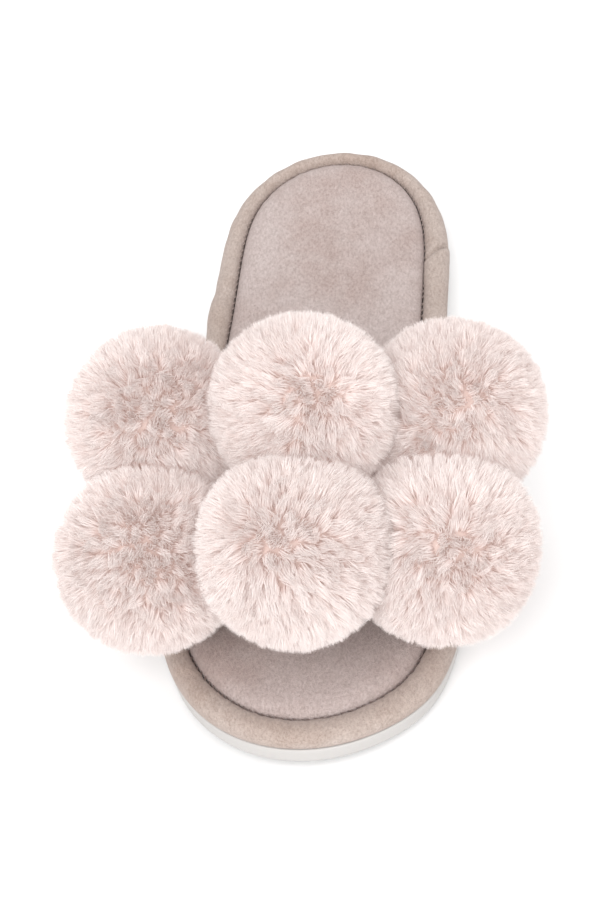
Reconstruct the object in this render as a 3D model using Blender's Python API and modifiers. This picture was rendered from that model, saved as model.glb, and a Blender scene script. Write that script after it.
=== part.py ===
"""Open-toe mule slipper for the right foot, with six fur pom-poms on its band.

Frame: metres, +Z up, floor at z = 0. The toe points along -Y and the heel along +Y.
The outer (lateral) side is at -X and the inner (medial) side at +X.
The origin is on the floor, half way along the sole.
"""

import math

import bmesh
import bpy
import numpy as np
from mathutils import Matrix, Vector
from mathutils.bvhtree import BVHTree

# Plan of the sole, measured to the outermost line of the rolled edge.
SOLE_LENGTH = 0.250
TOE_RADIUS = 0.036
HEEL_RADIUS = 0.034
HALF_WIDTHS = (
    # station from toe to heel, lateral, medial
    (0.06, 0.0305, 0.0322),
    (0.14, 0.0417, 0.0430),
    (0.26, 0.0476, 0.0474),
    (0.42, 0.0465, 0.0440),
    (0.56, 0.0425, 0.0393),
    (0.70, 0.0393, 0.0370),
    (0.84, 0.0371, 0.0362),
    (0.93, 0.0303, 0.0296),
)

# Side view of the sole: the toe and the heel curl up from a flat middle.
TOE_SPRING = 0.0060
TOE_SPRING_START = -0.068
HEEL_SPRING = 0.0015
HEEL_SPRING_START = 0.098

# Foam outsole.
OUTSOLE_THICKNESS = 0.0064
OUTSOLE_INSET = 0.0003
OUTSOLE_DRAFT = 0.0007
OUTSOLE_EDGE_ROUND = 0.0012
TREAD_DEPTH = 0.0015
TREAD_GROOVE_WIDTH = 0.0030
TREAD_WAVE = 0.0035
TREAD_SIDE_MARGIN = 0.010
TREAD_GROUPS = (
    # first groove, last groove, number of grooves
    (-0.064, -0.016, 5),
    (0.060, 0.096, 4),
)
TREAD_GROOVE_POINTS = 9

# Rolled edge round the padded footbed, broad at the toe and slim at the heel.
PIECE_GAP = 0.0003
ROLL_WIDTHS = (
    # station from toe to heel, lateral, medial
    (0.00, 0.0094, 0.0094),
    (0.06, 0.0084, 0.0090),
    (0.14, 0.0071, 0.0083),
    (0.28, 0.0068, 0.0078),
    (0.56, 0.0068, 0.0076),
    (0.84, 0.0066, 0.0074),
    (0.94, 0.0058, 0.0062),
    (1.00, 0.0050, 0.0050),
)
ROLL_WIDTH = 0.0080
ROLL_HEIGHT = 0.0064
ROLL_CORNERS = (
    # inner side (1) or outer side (0), top (1) or bottom (0), corner radius, segments;
    # the radii are those of a roll of ROLL_WIDTH, and spread with its width
    (0, 0, 0.0014, 1),
    (0, 1, 0.0043, 4),
    (1, 1, 0.0034, 3),
    (1, 0, 0.0006, 1),
)

# Padded footbed.
INSOLE_WALL_HEIGHT = 0.0040
INSOLE_CROWN = (
    # inset beyond the footbed's own edge, rise above its wall
    (0.0000, 0.0000),
    (0.0008, 0.0014),
    (0.0026, 0.0025),
    (0.0065, 0.0033),
    (0.0130, 0.0036),
)
SLOT_RUN = 0.004
SLOT_CLEARANCE = 0.0032
SLOT_GAP = 0.0010

# Band: its two feet stand in the seam, its top fans in towards the toes.
BAND_WALL = 0.0026
BAND_FRONT_AT_SEAM = -0.085
BAND_REAR_AT_SEAM = 0.019
BAND_FRONT_AT_TOP = -0.081
BAND_REAR_AT_TOP = -0.033
BAND_FRONT_HEIGHT = 0.045
BAND_REAR_HEIGHT = 0.060
BAND_PEAK_SHIFT = 0.0025
BAND_FAN_POWER = 1.25
BAND_SHOULDER_POWER = 0.94
BAND_ARCH_STEPS = 28
BAND_LENGTH_STEPS = 11

# Pom-poms: centre and reach of the fur tips. The middle ones stay round, and the others
# are pressed in by them.
POMPOMS = (
    # name, column of the pair, x, y, z, reach
    ("pompom_front_middle", "middle", 0.0008, -0.0911, 0.0642, 0.0300),
    ("pompom_back_middle", "middle", 0.0027, -0.0508, 0.0792, 0.0286),
    ("pompom_front_lateral", "lateral", -0.0427, -0.0828, 0.0502, 0.0294),
    ("pompom_back_lateral", "lateral", -0.0427, -0.0418, 0.0642, 0.0289),
    ("pompom_front_medial", "medial", 0.0422, -0.0804, 0.0513, 0.0294),
    ("pompom_back_medial", "medial", 0.0447, -0.0396, 0.0642, 0.0289),
)
MIDDLE_PAIR = (0, 1)
LOCK_LENGTH = 0.0042
LOCK_VARIATION = 0.0012
LOCK_DROOP = 0.12
BALL_DETAIL = 3
POMPOM_GAP = 0.0004
SEAT_GAP = 0.0008
SEAT_RAYS = 6000
FACET_ANGLE = 0.12
STEEPEST_SEAT = 0.30
REACH_SLOPE = 0.030
LOCK_SEED = 7

OUTLINE_POINTS = 80
FINE_POINTS = 720
TANGENT_STEP = 0.002


def smooth(xs, ys, x):
    """Natural cubic spline through the rows (xs, ys)."""
    step = np.diff(xs)
    slope = np.diff(ys) / step
    system = np.eye(len(xs))
    target = np.zeros(len(xs))
    for i in range(1, len(xs) - 1):
        system[i, i - 1 : i + 2] = step[i - 1], 2 * (step[i - 1] + step[i]), step[i]
        target[i] = 6 * (slope[i] - slope[i - 1])
    bend = np.linalg.solve(system, target)
    i = np.clip(np.searchsorted(xs, x) - 1, 0, len(xs) - 2)
    low = x - xs[i]
    high = xs[i + 1] - x
    curve = (bend[i] * high**3 + bend[i + 1] * low**3) / (6 * step[i])
    start = (ys[i] / step[i] - bend[i] * step[i] / 6) * high
    return curve + start + (ys[i + 1] / step[i] - bend[i + 1] * step[i] / 6) * low


def fullness(side, station):
    """Half-width over sqrt(s (1 - s)): it stays finite at the rounded toe and heel."""
    rows = np.array(HALF_WIDTHS)
    s = rows[:, 0]
    inner = rows[:, side] / np.sqrt(s * (1 - s))
    tips = np.sqrt(2 * np.array([TOE_RADIUS, HEEL_RADIUS]) * SOLE_LENGTH)
    xs = np.concatenate([[0.0], s, [1.0]])
    ys = np.concatenate([[tips[0]], inner, [tips[1]]])
    return smooth(xs, ys, station)


def even_angles(points):
    return 2 * math.pi * np.arange(points) / points


def plan(angle):
    """Outermost line of the sole from above, as x and y columns.

    The angle runs from the toe tip by the medial side to the heel and back. An ellipse's
    angle sets the station, and each side's fullness sets the half-width.
    """
    station = (1 - np.cos(angle)) / 2
    across = np.sin(angle) / 2
    x = np.where(across > 0, across * fullness(2, station), across * fullness(1, station))
    return np.column_stack([x, (station - 0.5) * SOLE_LENGTH])


def outline(inset=0.0, angle=None):
    """The plan curve moved inwards along its normal; the inset may be one value or many."""
    angle = even_angles(OUTLINE_POINTS) if angle is None else angle
    along = plan(angle + TANGENT_STEP) - plan(angle - TANGENT_STEP)
    along /= np.linalg.norm(along, axis=1)[:, None]
    outward = np.column_stack([along[:, 1], -along[:, 0]])
    return plan(angle) - outward * np.broadcast_to(inset, len(angle))[:, None]


def roll_width(angle):
    """Width of the rolled edge at each outline angle."""
    station, lateral, medial = np.array(ROLL_WIDTHS).T
    there = (1 - np.cos(angle)) / 2
    on_medial = smooth(station, medial, there)
    return np.where(np.sin(angle) > 0, on_medial, smooth(station, lateral, there))


def lift(y):
    """Height of the sole's underside above the floor: two parabolas past a flat middle."""
    toe = np.clip((TOE_SPRING_START - y) / (TOE_SPRING_START + SOLE_LENGTH / 2), 0, None)
    heel = np.clip((y - HEEL_SPRING_START) / (SOLE_LENGTH / 2 - HEEL_SPRING_START), 0, None)
    return TOE_SPRING * toe**2 + HEEL_SPRING * heel**2


def ring(inset, height, angle=None):
    """One closed row of a sole piece: the inset outline, at a height above the underside."""
    row = outline(inset, angle)
    return np.column_stack([row, lift(row[:, 1]) + height])


def new_collection(name):
    collection = bpy.data.collections.new(name)
    bpy.context.scene.collection.children.link(collection)
    return collection


def material(name, colour, roughness):
    finish = bpy.data.materials.new(name)
    finish.use_nodes = True
    shader = finish.node_tree.nodes["Principled BSDF"]
    shader.inputs["Base Color"].default_value = (*colour, 1.0)
    shader.inputs["Roughness"].default_value = roughness
    shader.inputs["Metallic"].default_value = 0.0
    return finish


def add_object(name, bm, collection, finish=None):
    mesh = bpy.data.meshes.new(name)
    bm.to_mesh(mesh)
    bm.free()
    mesh.shade_smooth()
    obj = bpy.data.objects.new(name, mesh)
    if finish:
        obj.data.materials.append(finish)
    collection.objects.link(obj)
    return obj


def loft(rows, closed_profile=False, capped=False):
    """A skin over rows of equal length, each a closed loop of points.

    A closed profile joins the last row to the first, as on a tube bent into a ring.
    Caps close the first and last row with rungs from the medial to the lateral side.
    """
    bm = bmesh.new()
    loops = [[bm.verts.new(point) for point in row] for row in rows]
    count = len(loops[0])
    following = loops[1:] + ([loops[0]] if closed_profile else [])
    for lower, upper in zip(loops, following):
        for k in range(count):
            after = (k + 1) % count
            bm.faces.new((lower[k], lower[after], upper[after], upper[k]))
    if capped:
        for loop in (loops[0], loops[-1]):
            for k in range(count // 2):
                corners = [loop[k], loop[k + 1], loop[(count - k - 1) % count], loop[(count - k) % count]]
                bm.faces.new(list(dict.fromkeys(corners)))
    bmesh.ops.recalc_face_normals(bm, faces=bm.faces)
    bmesh.ops.triangulate(bm, faces=bm.faces)
    return bm


def groove_cutter(y, index, collection):
    """A wavy bar across the sole, from under the floor to the depth of the tread."""
    edge = outline(TREAD_SIDE_MARGIN, even_angles(FINE_POINTS))
    half = FINE_POINTS // 2
    right = np.interp(y, edge[:half, 1], edge[:half, 0])
    left = np.interp(y, edge[half:, 1][::-1], edge[half:, 0][::-1])
    across = np.linspace(left, right, TREAD_GROOVE_POINTS)
    wave = TREAD_WAVE * np.cos(np.linspace(0, 4 * math.pi, TREAD_GROOVE_POINTS))
    rows = []
    for side in (-1, 1):
        for height in (-TREAD_DEPTH, TREAD_DEPTH):
            along = y + wave + side * TREAD_GROOVE_WIDTH / 2
            rows.append(np.column_stack([across, along, np.full(len(across), height)]))
    order = [rows[0], rows[1], rows[3], rows[2]]
    bm = bmesh.new()
    lines = [[bm.verts.new(point) for point in row] for row in order]
    for j in range(4):
        a, b = lines[j], lines[(j + 1) % 4]
        for k in range(TREAD_GROOVE_POINTS - 1):
            bm.faces.new((a[k], a[k + 1], b[k + 1], b[k]))
    for k in (0, TREAD_GROOVE_POINTS - 1):
        bm.faces.new([line[k] for line in lines])
    bmesh.ops.recalc_face_normals(bm, faces=bm.faces)
    bmesh.ops.triangulate(bm, faces=bm.faces)
    cutter = add_object(f"tread_cutter_{index}", bm, collection)
    cutter.hide_render = True
    cutter.display_type = "WIRE"
    return cutter


def build_outsole(parts, cutters, finish):
    """Moulded foam sole: drafted side, rounded lower edge and two groups of wavy grooves."""
    base = OUTSOLE_INSET + OUTSOLE_DRAFT
    rows = [
        ring(base + OUTSOLE_EDGE_ROUND, 0.0),
        ring(base, OUTSOLE_EDGE_ROUND),
        ring(OUTSOLE_INSET, OUTSOLE_THICKNESS),
    ]
    sole = add_object("outsole", loft(rows, capped=True), parts, finish)
    index = 0
    for first, last, count in TREAD_GROUPS:
        for y in np.linspace(first, last, count):
            cut = sole.modifiers.new(f"tread_{index}", "BOOLEAN")
            cut.operation = "DIFFERENCE"
            cut.object = groove_cutter(y, index, cutters)
            index += 1
    return sole


def roll_profile():
    """Closed cross-section of the rolled edge: four round corners, as (share of width, height)."""
    low = OUTSOLE_THICKNESS + PIECE_GAP
    pairs = []
    for inner, top, radius, segments in ROLL_CORNERS:
        centre_in = ROLL_WIDTH - radius if inner else radius
        centre_up = low + (ROLL_HEIGHT - radius if top else radius)
        start = {(0, 0): 270, (0, 1): 180, (1, 1): 90, (1, 0): 0}[(inner, top)]
        for k in range(segments + 1):
            turn = math.radians(start - 90 * k / segments)
            share = (centre_in + radius * math.cos(turn)) / ROLL_WIDTH
            pairs.append((share, centre_up + radius * math.sin(turn)))
    return pairs


def build_edge_roll(parts, finish):
    """Padded velour roll, swept once round the sole."""
    width = roll_width(even_angles(OUTLINE_POINTS))
    rows = [ring(share * width, height) for share, height in roll_profile()]
    return add_object("edge_roll", loft(rows, closed_profile=True), parts, finish)


def slot_angles():
    """Even outline angles, with extra ones at both ends of the slots for the band's feet."""
    ends = []
    for y, outward in ((BAND_FRONT_AT_SEAM, -1), (BAND_REAR_AT_SEAM, 1)):
        for step in (SLOT_CLEARANCE, SLOT_CLEARANCE + SLOT_RUN):
            half_turn = math.acos(-2 * (y + outward * step) / SOLE_LENGTH)
            ends += [half_turn, 2 * math.pi - half_turn]
    return np.sort(np.concatenate([even_angles(OUTLINE_POINTS), ends]))


def band_slot(y):
    """1 where the band's foot stands between roll and footbed, falling to 0 past its ends."""
    reach = SLOT_CLEARANCE + SLOT_RUN
    front = np.clip((y - BAND_FRONT_AT_SEAM + reach) / SLOT_RUN, 0, 1)
    rear = np.clip((BAND_REAR_AT_SEAM + reach - y) / SLOT_RUN, 0, 1)
    return np.minimum(front, rear)


def build_insole(parts, finish):
    """Padded footbed inside the roll, crowned at its edge and slotted for the band's feet."""
    angle = slot_angles()
    slot = (BAND_WALL + SLOT_GAP) * band_slot(plan(angle)[:, 1])
    edge = roll_width(angle) + PIECE_GAP + slot
    base = OUTSOLE_THICKNESS + PIECE_GAP
    rows = [ring(edge, base, angle)]
    for inset, rise in INSOLE_CROWN:
        rows.append(ring(edge + inset, base + INSOLE_WALL_HEIGHT + rise, angle))
    return add_object("insole", loft(rows, capped=True), parts, finish)


def seam_x(side, y, beyond):
    """x of the line this far inside the roll, on one side (-1 lateral, 1 medial) at the given y."""
    angle = side * np.linspace(0, math.pi, FINE_POINTS // 2 + 1)
    curve = outline(roll_width(angle) + beyond, angle)
    return np.interp(y, curve[:, 1], curve[:, 0])


def band_surface():
    """Middle surface of the band as a grid of points, rows from front to rear.

    Each row is half an ellipse from seam to seam over the instep, and its points lean
    from the row's seam position towards its top position as they rise. The first and
    last point of a row stand straight below the arch, down in the seam.
    """
    v = np.linspace(0, 1, BAND_LENGTH_STEPS + 1)[:, None]
    angle = np.linspace(0, math.pi, BAND_ARCH_STEPS + 1)[None, :]
    y_seam = BAND_FRONT_AT_SEAM + (BAND_REAR_AT_SEAM - BAND_FRONT_AT_SEAM) * v
    y_top = BAND_FRONT_AT_TOP + (BAND_REAR_AT_TOP - BAND_FRONT_AT_TOP) * v
    z_top = BAND_FRONT_HEIGHT + (BAND_REAR_HEIGHT - BAND_FRONT_HEIGHT) * v
    foot = PIECE_GAP + BAND_WALL / 2
    lateral = seam_x(-1, y_seam, foot)
    medial = seam_x(1, y_seam, foot)
    z_seam = lift(y_seam) + OUTSOLE_THICKNESS + PIECE_GAP + INSOLE_WALL_HEIGHT
    rise = np.sin(angle) ** BAND_SHOULDER_POWER
    centre = (lateral + medial) / 2
    x = centre - np.cos(angle) * (medial - lateral) / 2 + BAND_PEAK_SHIFT * rise
    y = y_seam + (y_top - y_seam) * rise**BAND_FAN_POWER
    z = z_seam + (z_top - z_seam) * rise
    arch = np.stack(np.broadcast_arrays(x, y, z), axis=-1)
    feet = arch[:, [0, -1]].copy()
    feet[:, :, 2] = (lift(y_seam) + OUTSOLE_THICKNESS + PIECE_GAP)[:, :1]
    return np.concatenate([feet[:, :1], arch, feet[:, 1:]], axis=1)


def build_band(parts, finish):
    """The upper: one arched wall, open at the toe, at the heel and underneath."""
    grid = band_surface()
    bm = bmesh.new()
    verts = [[bm.verts.new(point) for point in row] for row in grid]
    for a, b in zip(verts, verts[1:]):
        for k in range(len(a) - 1):
            bm.faces.new((a[k], b[k], b[k + 1], a[k + 1]))
    bmesh.ops.recalc_face_normals(bm, faces=bm.faces)
    band = add_object("upper_band", bm, parts, finish)
    wall = band.modifiers.new("wall", "SOLIDIFY")
    wall.thickness = BAND_WALL
    wall.offset = 0.0
    wall.use_even_offset = True
    return band


def solid_tree(objects):
    """One ray-casting tree over the evaluated meshes of these objects."""
    graph = bpy.context.evaluated_depsgraph_get()
    bm = bmesh.new()
    for obj in objects:
        mesh = bpy.data.meshes.new_from_object(obj.evaluated_get(graph))
        mesh.transform(Matrix.Translation(obj.location))
        bm.from_mesh(mesh)
        bpy.data.meshes.remove(mesh)
    tree = BVHTree.FromBMesh(bm)
    bm.free()
    return tree


def even_directions(count):
    """Unit vectors spread evenly over the sphere on a golden-angle spiral."""
    k = np.arange(count) + 0.5
    z = 1 - 2 * k / count
    turn = k * math.pi * (3 - math.sqrt(5))
    level = np.sqrt(1 - z**2)
    return np.column_stack([level * np.cos(turn), level * np.sin(turn), z])


def seat_reach(tree, centre, directions, reach):
    """How far a lock may grow along each direction before it meets the slipper itself.

    Many rays find the slipper round the centre. A direction within a facet's width of a
    blocked ray gets that ray's limit, and one further off gets it plus a rise with the angle.
    """
    rays = even_directions(SEAT_RAYS)
    limits = np.full(SEAT_RAYS, reach * 2)
    for i, ray in enumerate(rays):
        _, normal, _, distance = tree.ray_cast(Vector(centre), Vector(ray), reach * 2)
        if distance is not None:
            slant = max(abs(normal.dot(Vector(ray))), STEEPEST_SEAT)
            limits[i] = distance - SEAT_GAP / slant
    apart = np.arccos(np.clip(directions @ rays.T, -1, 1))
    beyond = np.clip(apart - FACET_ANGLE, 0, None)
    return (limits[None, :] + REACH_SLOPE * beyond).min(axis=1)


def neighbour_reach(index, directions):
    """How far a lock may grow before the flat that the two pom-poms of a pair share."""
    _, column, *place, reach = POMPOMS[index]
    limits = np.full(len(directions), reach * 2)
    for other, (_, far_column, *there, far_reach) in enumerate(POMPOMS):
        if other == index or far_column != column:
            continue
        away = np.subtract(there, place)
        distance = np.linalg.norm(away)
        flat = (distance**2 + reach**2 - far_reach**2) / (2 * distance) - POMPOM_GAP / 2
        facing = directions @ (away / distance)
        ahead = facing > 1e-3
        limits[ahead] = np.minimum(limits[ahead], flat / facing[ahead])
    return limits


def build_pompom(index, tree, parts, finish):
    """A ball whose every facet is drawn out into a lock, pressed flat where it touches."""
    name, _, x, y, z, reach = POMPOMS[index]
    rng = np.random.default_rng(LOCK_SEED + index)
    bm = bmesh.new()
    bmesh.ops.create_icosphere(bm, subdivisions=BALL_DETAIL, radius=1.0)
    roots = len(bm.verts)
    bmesh.ops.poke(bm, faces=bm.faces)
    bm.verts.ensure_lookup_table()
    directions = np.array([vert.co for vert in bm.verts])
    directions[roots:, 2] -= LOCK_DROOP
    directions /= np.linalg.norm(directions, axis=1)[:, None]
    length = np.full(len(directions), reach)
    length[:roots] -= LOCK_LENGTH
    length[roots:] -= rng.uniform(0, LOCK_VARIATION, len(directions) - roots)
    centre = np.array([x, y, z])
    seat = seat_reach(tree, centre, directions, reach)
    length = np.minimum(length, np.minimum(seat, neighbour_reach(index, directions)))
    for vert, direction, radius in zip(bm.verts, directions, length):
        vert.co = Vector(direction * radius)
    bmesh.ops.recalc_face_normals(bm, faces=bm.faces)
    pompom = add_object(name, bm, parts, finish)
    pompom.location = centre
    return pompom


def main():
    for obj in list(bpy.data.objects):
        bpy.data.objects.remove(obj)
    parts = new_collection("pompom_slipper")
    cutters = new_collection("tread_cutters")
    foam = material("white_foam", (0.82, 0.80, 0.78), 0.65)
    edging = material("edge_velour", (0.50, 0.40, 0.34), 0.95)
    velour = material("footbed_velour", (0.52, 0.42, 0.39), 0.95)
    fur = material("blush_fur", (0.80, 0.66, 0.62), 1.0)
    seats = [
        build_outsole(parts, cutters, foam),
        build_edge_roll(parts, edging),
        build_insole(parts, velour),
        build_band(parts, velour),
    ]
    slipper = solid_tree(seats)
    middle = [build_pompom(index, slipper, parts, fur) for index in MIDDLE_PAIR]
    pressed_in = solid_tree(seats + middle)
    for index in range(len(middle), len(POMPOMS)):
        build_pompom(index, pressed_in, parts, fur)


main()
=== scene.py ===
"""Looks of an open-toe slipper for the right foot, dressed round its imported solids.

Frame: metres, +Z up, floor at z = 0, toe along -Y, heel along +Y, outer side at -X.
"""

from __future__ import annotations

import logging
import math
from dataclasses import dataclass, field
from enum import Enum

import bpy
import numpy as np
from mathutils import Matrix, Vector
from mathutils.bvhtree import BVHTree


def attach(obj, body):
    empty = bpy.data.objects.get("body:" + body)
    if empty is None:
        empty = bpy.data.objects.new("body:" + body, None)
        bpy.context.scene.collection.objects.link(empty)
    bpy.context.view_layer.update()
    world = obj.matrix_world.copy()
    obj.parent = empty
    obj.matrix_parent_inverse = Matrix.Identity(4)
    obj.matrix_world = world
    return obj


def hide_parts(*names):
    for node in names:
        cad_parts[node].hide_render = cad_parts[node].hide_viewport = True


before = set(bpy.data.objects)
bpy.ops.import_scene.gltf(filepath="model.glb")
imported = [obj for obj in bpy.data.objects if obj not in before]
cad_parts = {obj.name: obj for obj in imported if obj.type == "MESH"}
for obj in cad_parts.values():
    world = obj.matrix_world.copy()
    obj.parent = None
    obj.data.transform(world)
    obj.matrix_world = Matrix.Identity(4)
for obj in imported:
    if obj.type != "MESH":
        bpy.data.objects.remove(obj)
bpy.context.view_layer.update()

Array = np.ndarray
Colour = tuple[float, float, float]
log = logging.getLogger("slipper")


class Side(Enum):
    """Side of the foot; the value is the sign of its x."""

    LATERAL = -1
    MEDIAL = 1


class Corner(Enum):
    """Corner of the rolled edge's cross-section: inner side or outer side, then top or bottom."""

    OUTER_BOTTOM = (0, 0)
    OUTER_TOP = (0, 1)
    INNER_TOP = (1, 1)
    INNER_BOTTOM = (1, 0)


# Shapes on grids


def grid_faces(rows: int, columns: int, close_rows: bool = False, close_columns: bool = False) -> Array:
    """Quads of a grid of points numbered row by row.

    Args:
        rows: number of rows of points.
        columns: number of points in a row.
        close_rows: joins the last row to the first.
        close_columns: joins each row's last point to its first.
    Returns:
        One row of four point numbers for each quad.
    """
    r = np.arange(rows if close_rows else rows - 1)[:, None]
    c = np.arange(columns if close_columns else columns - 1)[None, :]
    below = (r + 1) % rows
    right = (c + 1) % columns
    corners = [r * columns + c, r * columns + right, below * columns + right, below * columns + c]
    return np.stack(np.broadcast_arrays(*corners), axis=-1).reshape(-1, 4)


def signed_volume(points: Array, faces: Array) -> float:
    """Volume inside a closed shape of quads: a sixth of the sum of its fans' triple products."""
    a, b, c, d = (points[faces[:, k]] for k in range(4))
    fans = np.einsum("ij,ij->i", a, np.cross(b, c)) + np.einsum("ij,ij->i", a, np.cross(c, d))
    return float(fans.sum() / 6)


def outward(points: Array, faces: Array) -> Array:
    """The faces of a closed shape, all turned over if they point inwards."""
    return faces if signed_volume(points, faces) > 0 else faces[:, ::-1]


def build_mesh(name: str, points: Array, faces: list[Array], smooth: bool = True) -> bpy.types.Mesh:
    """A mesh from whole arrays.

    Args:
        name: name of the mesh.
        points: one row of x, y, z for each vertex.
        faces: arrays of faces; each array has its own number of corners.
        smooth: shades the faces smooth.
    Returns:
        The new mesh.
    """
    corners = np.concatenate([part.ravel() for part in faces])
    sizes = np.concatenate([np.full(len(part), part.shape[1]) for part in faces])
    starts = np.concatenate([[0], np.cumsum(sizes)[:-1]])
    mesh = bpy.data.meshes.new(name)
    mesh.vertices.add(len(points))
    mesh.vertices.foreach_set("co", np.ascontiguousarray(points, dtype=np.float32).ravel())
    mesh.loops.add(len(corners))
    mesh.loops.foreach_set("vertex_index", corners.astype(np.int32))
    mesh.polygons.add(len(sizes))
    mesh.polygons.foreach_set("loop_start", starts.astype(np.int32))
    mesh.update(calc_edges=True)
    mesh.polygons.foreach_set("use_smooth", np.full(len(sizes), smooth))
    return mesh


def add_piece(mesh: bpy.types.Mesh, finish: bpy.types.Material, slot: str, *nodes: str) -> bpy.types.Object:
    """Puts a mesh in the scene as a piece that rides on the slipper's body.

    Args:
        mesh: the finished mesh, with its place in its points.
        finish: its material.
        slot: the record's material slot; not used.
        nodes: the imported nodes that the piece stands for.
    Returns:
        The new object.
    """
    piece = bpy.data.objects.new(mesh.name, mesh)
    bpy.context.scene.collection.objects.link(piece)
    mesh.materials.append(finish)
    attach(piece, "root")
    if nodes:
        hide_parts(*nodes)
    mesh.calc_loop_triangles()
    log.info("%s: %d faces, %d triangles", mesh.name, len(mesh.polygons), len(mesh.loop_triangles))
    return piece


def set_attribute(mesh: bpy.types.Mesh, name: str, values: Array) -> None:
    """Stores one number for each vertex under a name that materials can read."""
    layer = mesh.attributes.new(name, "FLOAT", "POINT")
    layer.data.foreach_set("value", np.ascontiguousarray(values, dtype=np.float32))


def unit(vectors: Array) -> Array:
    """The vectors at length 1."""
    return vectors / np.linalg.norm(vectors, axis=-1, keepdims=True)


def even_directions(count: int) -> Array:
    """Unit vectors spread evenly over the sphere on a golden-angle spiral."""
    k = np.arange(count) + 0.5
    z = 1 - 2 * k / count
    turn = k * math.pi * (3 - math.sqrt(5))
    level = np.sqrt(1 - z**2)
    return np.column_stack([level * np.cos(turn), level * np.sin(turn), z])


def ease(low: float, high: float, value: Array) -> Array:
    """Smooth step: 0 below low, 1 above high, 3t^2 - 2t^3 between."""
    t = np.clip((value - low) / (high - low), 0, 1)
    return t * t * (3 - 2 * t)


def bell(value: Array, centre: float, width: float) -> Array:
    """Bell curve exp(-((value - centre) / width)^2)."""
    return np.exp(-(((value - centre) / width) ** 2))


def ripple(value: Array, pitches: tuple[float, ...], seed: int) -> Array:
    """Uneven waves: the mean of sines with these pitches and random phases, between -1 and 1."""
    phases = np.random.default_rng(seed).uniform(0, 2 * math.pi, len(pitches))
    waves = [np.sin(2 * math.pi * value / pitch + phase) for pitch, phase in zip(pitches, phases)]
    return np.sum(waves, axis=0) / len(pitches)


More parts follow.
